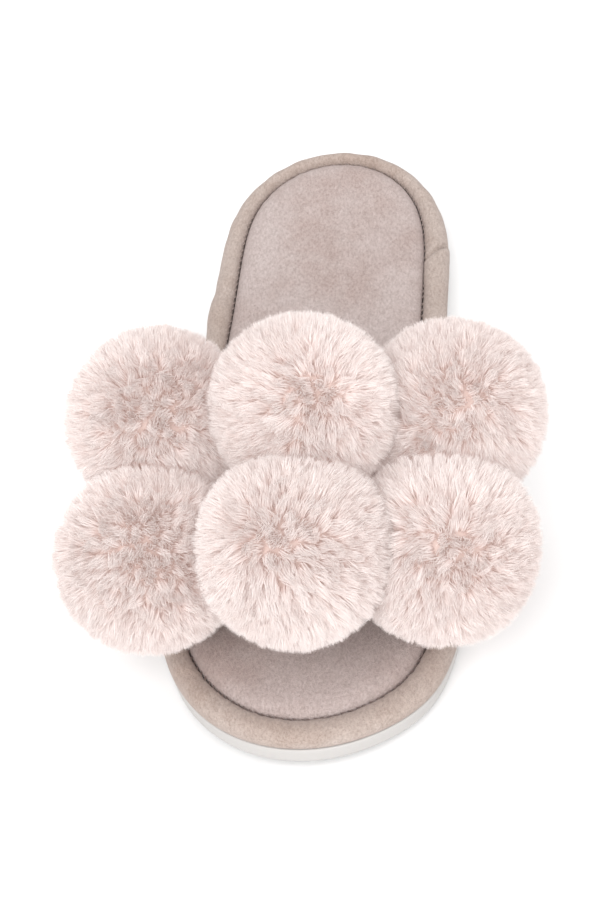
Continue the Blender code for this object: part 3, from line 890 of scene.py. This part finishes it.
@dataclass
class Footbed:
    """Padded footbed inside the roll, puffed up to its sewn edge."""

    plan: SolePlan
    wall_height: float = 0.0040
    crown: tuple[tuple[float, float], ...] = (
        # inset beyond the footbed's own edge, rise above its wall
        (0.0000, -0.0006),
        (0.0001, 0.0001),
        (0.0004, 0.0008),
        (0.0009, 0.0015),
        (0.0017, 0.0022),
        (0.0028, 0.0028),
        (0.0044, 0.0033),
        (0.0065, 0.0036),
        (0.0095, 0.0037),
        (0.0130, 0.0037),
    )
    slot_depth: float = 0.0029
    slot_ends: tuple[float, float] = (-0.0868, 0.0208)
    slot_run: float = 0.0012
    count: int = 720
    columns: int = 41

    def edge(self, angle: Array) -> Array:
        """Inset of the footbed's edge: the roll's width, deeper where the band's feet stand."""
        y = self.plan.point(angle)[:, 1]
        front = np.clip((y - self.slot_ends[0]) / self.slot_run, 0, 1)
        rear = np.clip((self.slot_ends[1] - y) / self.slot_run, 0, 1)
        return self.plan.roll_width(angle) + self.plan.gap + self.slot_depth * np.minimum(front, rear)

    def give(self, x: Array, y: Array) -> Array:
        """Unevenness of the stuffed top: slow waves, and a shallow press of the heel and ball."""
        waves = ripple(x + 0.35 * y, (0.031, 0.043), 11) + ripple(y - 0.2 * x, (0.026, 0.058), 12)
        heel = bell(np.hypot(x / 0.8, y - 0.085), 0.0, 0.028)
        return 0.00022 * waves - 0.0005 * heel

    def build(self, finish: bpy.types.Material) -> bpy.types.Object:
        """Builds the footbed: rings up its wall and over its crown, then rungs across the top."""
        angle = self.plan.even_angles(self.count)
        s = self.plan.distance(angle)
        edge = self.edge(angle)
        gather = ripple(s, (0.0051, 0.0068, 0.0117), 17)
        rows = [self.plan.ring(edge, self.plan.bed, angle)]
        for inset, rise in self.crown:
            near = math.exp(-inset / 0.003)
            swell = 0.00022 * gather * near * ease(0, 0.001, np.array(rise))
            height = self.plan.bed + self.wall_height + rise + swell
            rows.append(self.plan.ring(edge + inset, height, angle))
        stack = np.concatenate(rows)
        lid, _ = rungs(rows[-1], self.columns)
        centre = np.linspace(-1, 1, self.columns)[None, :]
        lid[:, :, 2] = self.plan.lift(lid[:, :, 1]) + self.plan.bed + self.wall_height + self.crown[-1][1]
        from_tip = np.minimum(lid[:, :, 1] - lid[0, 0, 1], lid[-1, 0, 1] - lid[:, :, 1])
        lid[:, :, 2] += self.give(lid[:, :, 0], lid[:, :, 1]) * (1 - centre**4) * ease(0, 0.022, from_tip)
        floor, _ = rungs(rows[0], 5)
        points = np.concatenate([stack, lid[1:-1, 1:-1].reshape(-1, 3), floor[1:-1, 1:-1].reshape(-1, 3)])
        inner = (self.count // 2 - 1) * (self.columns - 2)
        shell = grid_faces(len(rows), self.count, close_columns=True)
        top = cap_faces((len(rows) - 1) * self.count, self.count, len(stack), self.columns)
        bottom = cap_faces(0, self.count, len(stack) + inner, 5)
        faces = np.concatenate([shell, top, bottom[:, ::-1]])
        mesh = build_mesh("velour_footbed", points, split_faces(outward(points, faces)))
        piece = add_piece(mesh, finish, "footbed_velour", "insole")
        return piece


@dataclass
class Band:
    """The upper: an arched band of two velour layers, with turned and stitched edges."""

    plan: SolePlan
    wall: float = 0.0026
    front_at_seam: float = -0.085
    rear_at_seam: float = 0.019
    front_at_top: float = -0.081
    rear_at_top: float = -0.033
    front_height: float = 0.045
    rear_height: float = 0.060
    peak_shift: float = 0.0025
    fan_power: float = 1.25
    shoulder_power: float = 0.94
    wall_height: float = 0.0040
    arch_steps: int = 150
    length_steps: int = 46
    hem: float = 0.0065
    hem_depth: float = 0.00035

    def surface(self, v: Array, angle: Array) -> Array:
        """Middle surface of the band.

        Half an ellipse from seam to seam over the instep for each v, whose points lean from
        the row's place at the seam towards its place at the top as they rise.

        Args:
            v: 0 at the front edge and 1 at the rear edge.
            angle: 0 at the lateral seam and pi at the medial seam.
        Returns:
            Points, with a last axis of x, y, z.
        """
        y_seam = self.front_at_seam + (self.rear_at_seam - self.front_at_seam) * v
        y_top = self.front_at_top + (self.rear_at_top - self.front_at_top) * v
        z_top = self.front_height + (self.rear_height - self.front_height) * v
        foot = self.plan.gap + self.wall / 2
        lateral = self.plan.seam_x(Side.LATERAL, y_seam, foot)
        medial = self.plan.seam_x(Side.MEDIAL, y_seam, foot)
        z_seam = self.plan.lift(y_seam) + self.plan.bed + self.wall_height
        rise = np.sin(angle) ** self.shoulder_power
        centre = (lateral + medial) / 2
        x = centre - np.cos(angle) * (medial - lateral) / 2 + self.peak_shift * rise
        y = y_seam + (y_top - y_seam) * rise**self.fan_power
        z = z_seam + (z_top - z_seam) * rise
        return np.stack(np.broadcast_arrays(x, y, z), axis=-1)

    def sheet(self) -> tuple[Array, Array]:
        """The middle surface on its grid, feet included, and its outward normals."""
        v = np.linspace(0, 1, self.length_steps + 1)[:, None]
        angle = np.linspace(0, math.pi, self.arch_steps + 1)[None, :]
        arch = self.surface(v, angle)
        feet = arch[:, [0, -1]].copy()
        feet[:, :, 2] = self.plan.lift(feet[:, :, 1]) + self.plan.bed + 0.0001
        grid = np.concatenate([feet[:, :1], arch, feet[:, 1:]], axis=1)
        along = np.gradient(grid, axis=0)
        around = np.gradient(grid, axis=1)
        normal = unit(np.cross(around, along))
        centre = np.array([0.001, 0.0, 0.015]) + grid * np.array([0.0, 1.0, 0.0])
        flip = np.sign(np.einsum("ijk,ijk->ij", normal, grid - centre))
        return grid, normal * flip[:, :, None]

    def thickness(self, grid: Array) -> Array:
        """Half the wall, rounded off at both edges, with a sewn line beside each of them."""
        steps = np.linalg.norm(np.diff(grid, axis=0), axis=2)
        along = np.concatenate([np.zeros((1, grid.shape[1])), np.cumsum(steps, axis=0)])
        edge = np.minimum(along, along[-1] - along)
        half = self.wall / 2
        round_off = np.sqrt(np.clip(1 - (1 - np.clip(edge / half, 0, 1)) ** 2, 0.02, 1))
        sewn = self.hem_depth * bell(edge, self.hem, 0.0011)
        soft = 0.00012 * ripple(along + 0.2 * grid[:, :, 0], (0.013, 0.021, 0.034), 21)
        return half * round_off - sewn + soft * ease(0.002, 0.008, edge)

    def build(self, finish: bpy.types.Material) -> bpy.types.Object:
        """Builds the wall: the outer face and the lining, joined round all four edges."""
        grid, normal = self.sheet()
        half = self.thickness(grid)[:, :, None]
        outer = grid + normal * half
        lining = (grid - normal * half)[::-1]
        loop = np.concatenate([outer, lining])
        points = loop.reshape(-1, 3)
        rows, columns = loop.shape[:2]
        wall = grid_faces(rows, columns, close_rows=True)
        r = np.arange(rows // 2 - 1)
        low = np.stack([r, r + 1, rows - 2 - r, rows - 1 - r], axis=1) * columns
        faces = np.concatenate([wall, low[:, ::-1], low + columns - 1])
        mesh = build_mesh("velour_band", points, [outward(points, faces)])
        return add_piece(mesh, finish, "footbed_velour", "upper_band")

    def stitches(self, finish: bpy.types.Material) -> bpy.types.Object:
        """Builds the stitches along the sewn line beside each edge, on both faces."""
        grid, normal = self.sheet()
        steps = np.linalg.norm(np.diff(grid, axis=0), axis=2)
        along = np.concatenate([np.zeros((1, grid.shape[1])), np.cumsum(steps, axis=0)])
        half = self.wall / 2 - self.hem_depth
        row = StitchRow(width=0.00062)
        points, faces, total = [], [], 0
        for from_front in (True, False):
            at = np.full(grid.shape[1], self.hem) if from_front else along[-1] - self.hem
            low = np.clip((along < at[None, :]).sum(axis=0) - 1, 0, grid.shape[0] - 2)
            k = np.arange(grid.shape[1])
            share = ((at - along[low, k]) / (along[low + 1, k] - along[low, k]))[:, None]
            line = grid[low, k] * (1 - share) + grid[low + 1, k] * share
            out = unit(normal[low, k] * (1 - share) + normal[low + 1, k] * share)
            line, out = line[1:-1], out[1:-1]
            run = np.concatenate([[0.0], np.cumsum(np.linalg.norm(np.diff(line, axis=0), axis=1))])
            count = int(run[-1] / 0.0034)
            marks = (np.arange(count) + 0.5) * run[-1] / count
            places = np.column_stack([np.interp(marks, run, line[:, a]) for a in range(3)])
            ahead = np.column_stack([np.interp(marks + 0.001, run, line[:, a]) for a in range(3)])
            outs = unit(np.column_stack([np.interp(marks, run, out[:, a]) for a in range(3)]))
            for face in (1, -1):
                length = np.full(count, 0.0026)
                one, quads = row.shape(places + outs * face * half, unit(ahead - places), outs * face, length)
                points.append(one)
                faces.append(quads + total)
                total += len(one)
        mesh = build_mesh("band_stitches", np.concatenate(points), [np.concatenate(faces)])
        return add_piece(mesh, finish, "footbed_velour")


@dataclass
class SeamStitches:
    """Small dark stitches that pull the roll down to the footbed, round the toe and the heel; left out along the
    sides where the band's feet stand.
    """

    plan: SolePlan
    pitch: float = 0.0027
    length: float = 0.0020
    width: float = 0.00046
    depth: float = 0.0043
    band_ends: tuple[float, float] = (-0.087, 0.021)
    slant: float = 0.55

    def build(self, finish: bpy.types.Material) -> bpy.types.Object:
        """Builds the stitches: one each pitch along the seam, turned by the slant across it."""
        total = self.plan.distance(np.array([2 * math.pi]))[0]
        count = int(total / self.pitch)
        rng = np.random.default_rng(31)
        marks = (np.arange(count) + 0.5 + rng.uniform(-0.14, 0.14, count)) * total / count
        fine = np.linspace(0, 2 * math.pi, 2881)
        angle = np.interp(marks, self.plan.distance(fine), fine)
        places = self.plan.ring(self.plan.roll_width(angle) - 0.0001, self.plan.bed + self.depth, angle)
        outwards = np.column_stack([self.plan.outwards(angle), np.zeros(count)])
        ahead = np.column_stack([-outwards[:, 1], outwards[:, 0], np.zeros(count)])
        slant = (self.slant + rng.uniform(-0.15, 0.15, count))[:, None]
        along = unit(ahead * np.cos(slant) + outwards * np.sin(slant))
        clear = (places[:, 1] < self.band_ends[0]) | (places[:, 1] > self.band_ends[1])
        up = np.tile([0.0, 0.0, 1.0], (count, 1))
        length = self.length * rng.uniform(0.85, 1.15, count)
        row = StitchRow(width=self.width)
        points, faces = row.shape(places[clear], along[clear], up[clear], length[clear])
        mesh = build_mesh("seam_stitches", points, [faces])
        return add_piece(mesh, finish, "edge_velour")


class Pair(Enum):
    """Pair of pom-poms, one before the other, that share a flat."""

    LATERAL = "lateral"
    MIDDLE = "middle"
    MEDIAL = "medial"


@dataclass(frozen=True)
class Pompom:
    """Name, pair, place and reach of one pom-pom, and how far its shared flat gives way."""

    name: str
    pair: Pair
    x: float
    y: float
    z: float
    reach: float
    give: float = 0.0

    @property
    def centre(self) -> Array:
        """Centre of the ball."""
        return np.array([self.x, self.y, self.z])


@dataclass
class FurPompoms:
    """Six balls of fur: the middle ones stay round, and the others are pressed in by them."""

    balls: tuple[Pompom, ...] = (
        Pompom("pompom_front_middle", Pair.MIDDLE, 0.0008, -0.0911, 0.0642, 0.0300, 0.0020),
        Pompom("pompom_back_middle", Pair.MIDDLE, 0.0027, -0.0508, 0.0792, 0.0286, -0.0020),
        Pompom("pompom_front_lateral", Pair.LATERAL, -0.0427, -0.0828, 0.0502, 0.0294),
        Pompom("pompom_back_lateral", Pair.LATERAL, -0.0427, -0.0418, 0.0642, 0.0289),
        Pompom("pompom_front_medial", Pair.MEDIAL, 0.0422, -0.0804, 0.0513, 0.0294),
        Pompom("pompom_back_medial", Pair.MEDIAL, 0.0447, -0.0396, 0.0642, 0.0289),
    )
    hairs: int = 66000
    locks: int = 1500
    root_share: float = 0.70
    core_share: float = 0.775
    root_along: float = 0.10
    bend_at: float = 0.55
    overshoot: float = 1.02
    hair_width: float = 0.00034
    sweep: float = 0.10
    lumps: float = 0.034
    lock_pull: float = 0.32
    lock_lean: float = 0.070
    droop: float = 0.04
    stray: float = 0.016
    length_spread: float = 0.045
    press_gap: float = 0.0002
    meeting_share: float = 0.965
    seat_gap: float = 0.0006
    seat_rows: int = 60
    seat_columns: int = 120
    seeds: list[int] = field(default_factory=lambda: [101, 102, 103, 104, 105, 106])

    def press(self, index: int, directions: Array) -> Array:
        """How far a hair may reach before the ball's neighbours.

        The two balls of a pair share a flat. It stands at (d^2 + r^2 - q^2) / 2d along the line
        between the centres, for the distance d and the reaches r and q, less what the ball
        gives, so a hair's limit is that over its cosine. A ball beside a middle one ends at the
        middle one's surface, where the hair meets a sphere: t = a - (a^2 - d^2 + s^2)^0.5, for
        the distance d, its share a along the hair and the sphere's radius s.
        """
        ball = self.balls[index]
        limits = np.full(len(directions), ball.reach * 2)
        for other in self.balls:
            away = other.centre - ball.centre
            distance = float(np.linalg.norm(away))
            if other is ball:
                continue
            if other.pair is ball.pair:
                flat = (distance**2 + ball.reach**2 - other.reach**2) / (2 * distance)
                flat -= self.press_gap / 2 + ball.give
                facing = directions @ (away / distance)
                limits = np.where(facing > 0.02, np.minimum(limits, flat / np.maximum(facing, 0.02)), limits)
            elif other.pair is Pair.MIDDLE:
                ahead = directions @ away
                inside = ahead**2 - distance**2 + (other.reach * self.meeting_share) ** 2
                meets = (inside > 0) & (ahead > 0)
                limits = np.where(meets, np.minimum(limits, ahead - np.sqrt(np.maximum(inside, 0))), limits)
        return limits

    def seat(self, ball: Pompom, tree: BVHTree, directions: Array) -> Array:
        """How far a hair may reach before the slipper's own solids.

        Rays on a grid of heights and turns find the solids round the ball's centre, and each
        hair takes the nearest ray's limit.
        """
        level = np.linspace(-1, 1, self.seat_rows)
        turn = np.arange(self.seat_columns) * 2 * math.pi / self.seat_columns
        flat = np.sqrt(1 - level**2)[:, None]
        rays = np.stack(
            [flat * np.cos(turn), flat * np.sin(turn), np.broadcast_to(level[:, None], (len(level), len(turn)))],
            axis=-1,
        )
        origin = Vector(ball.centre)
        hits = [tree.ray_cast(origin, Vector(ray), ball.reach * 1.5)[3] for ray in rays.reshape(-1, 3)]
        found = np.array([ball.reach * 2 if hit is None else hit - self.seat_gap for hit in hits])
        found = found.reshape(self.seat_rows, self.seat_columns)
        row = np.clip(np.rint((directions[:, 2] + 1) / 2 * (self.seat_rows - 1)), 0, self.seat_rows - 1)
        angle = np.arctan2(directions[:, 1], directions[:, 0]) % (2 * math.pi)
        column = np.rint(angle / (2 * math.pi) * self.seat_columns) % self.seat_columns
        return found[row.astype(int), column.astype(int)]

    def waves(self, directions: Array, index: int) -> Array:
        """Slow waves over the ball: three numbers a direction, each the mean of three sines."""
        rng = np.random.default_rng(self.seeds[index] + 50)
        turns = rng.normal(0, 1, (3, 3, 3))
        phases = rng.uniform(0, 2 * math.pi, (3, 3))
        pitches = np.array([1.6, 2.6, 4.0])
        inner = np.einsum("ni,jki->njk", directions, unit(turns)) * pitches + phases
        return np.sin(inner).mean(axis=2)

    def nearest_lock(self, directions: Array, axes: Array) -> Array:
        """Number of the lock whose axis lies closest to each direction, worked out in blocks."""
        blocks = np.array_split(directions.astype(np.float32), 12)
        return np.concatenate([np.argmax(block @ axes.T.astype(np.float32), axis=1) for block in blocks])

    def core(self, ball: Pompom) -> tuple[Array, Array]:
        """Points and quads of the tied core: a ball of rings that the hairs stand on."""
        rows, columns = 24, 48
        level = np.linspace(0, math.pi, rows)[:, None]
        turn = (np.arange(columns) * 2 * math.pi / columns)[None, :]
        directions = np.stack(
            np.broadcast_arrays(np.sin(level) * np.cos(turn), np.sin(level) * np.sin(turn), np.cos(level)), axis=-1
        ).reshape(-1, 3)
        index = self.balls.index(ball)
        reach = np.minimum(ball.reach * self.core_share, self.press(index, directions) * 0.9)
        return directions * reach[:, None], grid_faces(rows, columns, close_columns=True)

    def hairs_of(self, index: int, tree: BVHTree) -> tuple[Array, Array, Array, Array]:
        """One ball's hairs.

        A hair is a bent diamond: a point at the root, two at the bend and one at the tip. Its
        root stands square on the core. Its tip leans towards the tip of the lock that it
        belongs to, and stays short of the ball's neighbours and its seat.

        Args:
            index: number of the ball.
            tree: ray-casting tree of the slipper's solids.
        Returns:
            Points from the ball's centre, triangles, share along the hair, and tint.
        """
        ball = self.balls[index]
        rng = np.random.default_rng(self.seeds[index])
        count = self.hairs
        root = unit(even_directions(count) + rng.normal(0, 0.010, (count, 3)))
        axes = unit(even_directions(self.locks) + rng.normal(0, 0.022, (self.locks, 3)))
        lock = self.nearest_lock(root, axes)
        lean = rng.normal(0, self.lock_lean, (self.locks, 3))
        aim = unit(axes + lean + np.array([0.0, 0.0, -self.droop]))
        pull = self.lock_pull * rng.uniform(0.4, 1.3, self.locks)[lock][:, None]
        swept = self.waves(root, index) * self.sweep
        tip = root + pull * (aim[lock] - root) + lean[lock] * 0.35 + swept
        tip = unit(tip + rng.normal(0, self.stray, (count, 3)))
        bend = unit(root * 0.6 + tip * 0.4 + rng.normal(0, 0.010, (count, 3)))
        length = ball.reach * self.overshoot * (1 - self.length_spread * rng.uniform(0, 1, count) ** 1.5)
        length *= 1 - 0.028 * rng.uniform(0, 1, self.locks)[lock] + self.lumps * self.waves(tip, index)[:, 0]
        limit = np.minimum(self.press(index, tip), self.seat(ball, tree, tip))
        tip_reach = np.minimum(length, limit)
        root_reach = np.minimum(ball.reach * self.root_share, tip_reach * 0.84)
        bend_reach = root_reach + (tip_reach - root_reach) * self.bend_at
        bend_reach = np.minimum(bend_reach, self.press(index, bend))
        spin = unit(np.cross(tip, rng.normal(0, 1, (count, 3))))
        half = spin * (self.hair_width / 2 * rng.uniform(0.7, 1.3, count))[:, None]
        mid = bend * bend_reach[:, None]
        points = np.stack([root * root_reach[:, None], mid - half, mid + half, tip * tip_reach[:, None]], axis=1)
        first = np.arange(count)[:, None] * 4
        triangles = np.concatenate([first + np.array([0, 2, 1]), first + np.array([1, 2, 3])])
        free = np.clip((tip_reach / ball.reach - self.root_share) / (1 - self.root_share), 0, 1)
        at_bend = free * self.bend_at
        along = np.stack([np.zeros(count), at_bend, at_bend, free], axis=1)
        along = self.root_along + (1 - self.root_along) * along
        tint = np.clip(0.5 + rng.normal(0, 0.04, count) + rng.normal(0, 0.09, self.locks)[lock], 0, 1)
        return points.reshape(-1, 3), triangles, along.ravel(), np.repeat(tint, 4)

    def build(self, finish: bpy.types.Material, tree: BVHTree) -> None:
        """Builds the six balls, each its core and its hairs in one mesh."""
        for index, ball in enumerate(self.balls):
            hairs, triangles, along, tint = self.hairs_of(index, tree)
            core, core_quads = self.core(ball)
            start = len(core)
            faces = [outward(core, core_quads), triangles + start]
            mesh = build_mesh(f"fur_{ball.name}", np.concatenate([core, hairs]) + ball.centre, faces)
            set_attribute(mesh, "along", np.concatenate([np.zeros(start), along]))
            set_attribute(mesh, "tint", np.concatenate([np.full(start, 0.5), tint]))
            add_piece(mesh, finish, "blush_fur", ball.name)


@dataclass
class Studio:
    """Pale floor, soft light and the photograph's camera."""

    azimuth: float = 7.765
    elevation: float = 47.74
    roll: float = -6.165
    distance: float = 1.2
    focal_pixels: float = 2392.2
    frame_height: int = 920
    sensor: float = 36.0
    target: tuple[float, float, float] = (0.0, 0.0033, 0.010)
    target_pixel: tuple[float, float] = (194.14, 459.77)
    centre_pixel: tuple[float, float] = (179.5, 479.0)
    zoom: float = 1.60

    def camera(self) -> None:
        """Places the camera where the photograph's stood, turned and zoomed to the slipper."""
        az, el, roll = (math.radians(v) for v in (self.azimuth, self.elevation, self.roll))
        back = Vector((math.sin(az) * math.cos(el), -math.cos(az) * math.cos(el), math.sin(el)))
        level = Vector((math.cos(az), math.sin(az), 0.0))
        upright = back.cross(level)
        right = math.cos(roll) * level + math.sin(roll) * upright
        up = -math.sin(roll) * level + math.cos(roll) * upright
        across = (self.centre_pixel[0] - self.target_pixel[0]) / self.focal_pixels
        down = (self.centre_pixel[1] - self.target_pixel[1]) / self.focal_pixels
        aim = (back - across * right + down * up).normalized()
        turn = back.rotation_difference(aim).to_matrix()
        columns = (turn @ right, turn @ up, turn @ back)
        data = bpy.data.cameras.new("photograph_view")
        data.sensor_width = self.sensor
        data.lens = self.sensor * self.focal_pixels / self.frame_height * self.zoom
        data.clip_start, data.clip_end = 0.05, 20.0
        camera = bpy.data.objects.new("photograph_view", data)
        bpy.context.scene.collection.objects.link(camera)
        place = Vector(self.target) + back * self.distance
        camera.matrix_world = Matrix.Translation(place) @ Matrix(columns).transposed().to_4x4()
        bpy.context.scene.camera = camera

    def floor(self) -> None:
        """Lays a wide, very slightly domed sheet as the floor, its top at z = 0."""
        steps = np.linspace(-6, 6, 25)
        x, y = np.meshgrid(steps, steps)
        z = -0.0002 - 0.0005 * np.hypot(x, y) ** 2
        mesh = build_mesh("floor", np.stack([x, y, z], axis=-1).reshape(-1, 3), [grid_faces(25, 25)])
        sheet = bpy.data.objects.new("floor", mesh)
        bpy.context.scene.collection.objects.link(sheet)
        mesh.materials.append(StudioFloor().build())

    def light(self, name: str, place: Colour, size: float, power: float) -> None:
        """Adds a square soft light that faces the slipper."""
        data = bpy.data.lights.new(name, "AREA")
        data.shape, data.size, data.energy = "SQUARE", size, power
        lamp = bpy.data.objects.new(name, data)
        bpy.context.scene.collection.objects.link(lamp)
        lamp.location = place
        lamp.rotation_euler = (Vector(place) - Vector((0, -0.02, 0.03))).to_track_quat("Z", "Y").to_euler()

    def build(self) -> None:
        """Makes the camera, the floor, the lights and the pale surround."""
        self.camera()
        self.floor()
        self.light("key_light", (-0.3, -1.35, 1.4), 1.3, 25.0)
        self.light("fill_light", (1.2, -0.7, 1.3), 1.2, 8.0)
        self.light("top_light", (-0.3, 0.7, 1.7), 1.2, 5.0)
        world = bpy.data.worlds.new("pale_surround")
        world.use_nodes = True
        surround = world.node_tree.nodes["Background"]
        surround.inputs["Color"].default_value = (1.0, 1.0, 1.0, 1.0)
        surround.inputs["Strength"].default_value = 0.86
        bpy.context.scene.world = world
        bpy.context.scene.view_settings.view_transform = "Standard"


def solids_tree(names: tuple[str, ...]) -> BVHTree:
    """One ray-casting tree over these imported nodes.

    Args:
        names: the nodes' names.
    Returns:
        The tree, in the slipper's frame.
    """
    points: list[Vector] = []
    faces: list[tuple[int, ...]] = []
    for name in names:
        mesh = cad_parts[name].data
        start = len(points)
        points += [vertex.co.copy() for vertex in mesh.vertices]
        faces += [tuple(start + v for v in face.vertices) for face in mesh.polygons]
    return BVHTree.FromPolygons(points, faces)


def main() -> None:
    """Builds the studio and every piece in order, and reports them."""
    logging.basicConfig(level=logging.INFO, format="%(message)s")
    Studio().build()
    plan = SolePlan()
    footbed_velour = Velour(
        "footbed_velour_pile",
        base=(0.475, 0.395, 0.375),
        shade=(0.415, 0.325, 0.300),
        light=(0.550, 0.475, 0.455),
        # edge: painted shade where the cloth turns away from view
        edge=(0.330, 0.255, 0.235),
    )
    edge_velour = Velour(
        "edge_velour_pile",
        base=(0.445, 0.365, 0.325),
        shade=(0.395, 0.310, 0.268),
        # edge: painted shade where the cloth turns away from view
        light=(0.540, 0.465, 0.425),
        edge=(0.330, 0.255, 0.220),
    )
    seam_thread = Thread("seam_thread", (0.36, 0.285, 0.260), (0.26, 0.200, 0.180), (0.22, 0.165, 0.150))
    band_thread = Thread("band_thread", (0.44, 0.365, 0.345), (0.34, 0.270, 0.250), (0.42, 0.340, 0.320))
    Outsole(plan).build(Foam().build())
    EdgeRoll(plan).build(edge_velour.build())
    velour = footbed_velour.build()
    Footbed(plan).build(velour)
    band = Band(plan)
    band.build(velour)
    band.stitches(band_thread.build())
    SeamStitches(plan).build(seam_thread.build())
    tree = solids_tree(("upper_band", "edge_roll", "insole"))
    FurPompoms().build(Fur().build(), tree)


if __name__ == "__main__":
    main()
